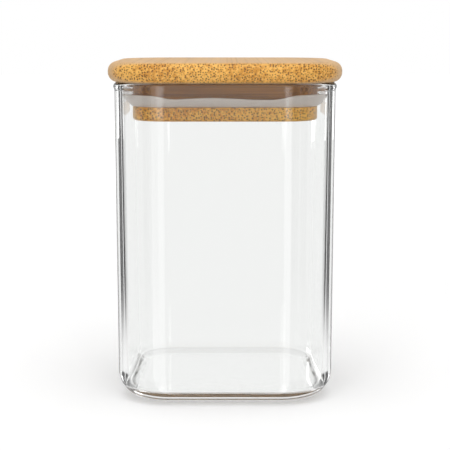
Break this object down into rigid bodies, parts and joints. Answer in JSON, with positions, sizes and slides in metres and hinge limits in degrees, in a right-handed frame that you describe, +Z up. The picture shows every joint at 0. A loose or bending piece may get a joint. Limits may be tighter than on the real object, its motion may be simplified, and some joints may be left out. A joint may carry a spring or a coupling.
{
  "type": "spice jar",
  "caption": "Square clear glass spice jar with rounded corners and a push-in bamboo lid sealed by a silicone ring.",
  "frame": {"origin": "centre of the base, on the surface that the jar stands on", "axes": "+Z up through the middle of the lid, +Y to the back, +X to the right seen from the front"},
  "size_m": [0.074, 0.074, 0.1078],
  "materials": {
    "clear_glass": "clear, smooth, fire-polished rim",
    "bamboo_board": "sanded bamboo, light oil, dark fibre dots on the end grain",
    "bamboo_cross_ply": "sanded bamboo, long grain, darker brown",
    "translucent_silicone": "translucent whitish, satin"
  },
  "bodies": {
    "jar": {"glass_body": "clear_glass"},
    "lid": {"lid_slab": "bamboo_board", "plug_core": "bamboo_cross_ply", "plug_base": "bamboo_board", "silicone_seal": "translucent_silicone"}
  },
  "joints": [
    {"name": "lid_lift", "type": "slide", "parent": "jar", "child": "lid", "axis": [0, 0, 1], "range_m": [0, 0.05]}
  ]
}
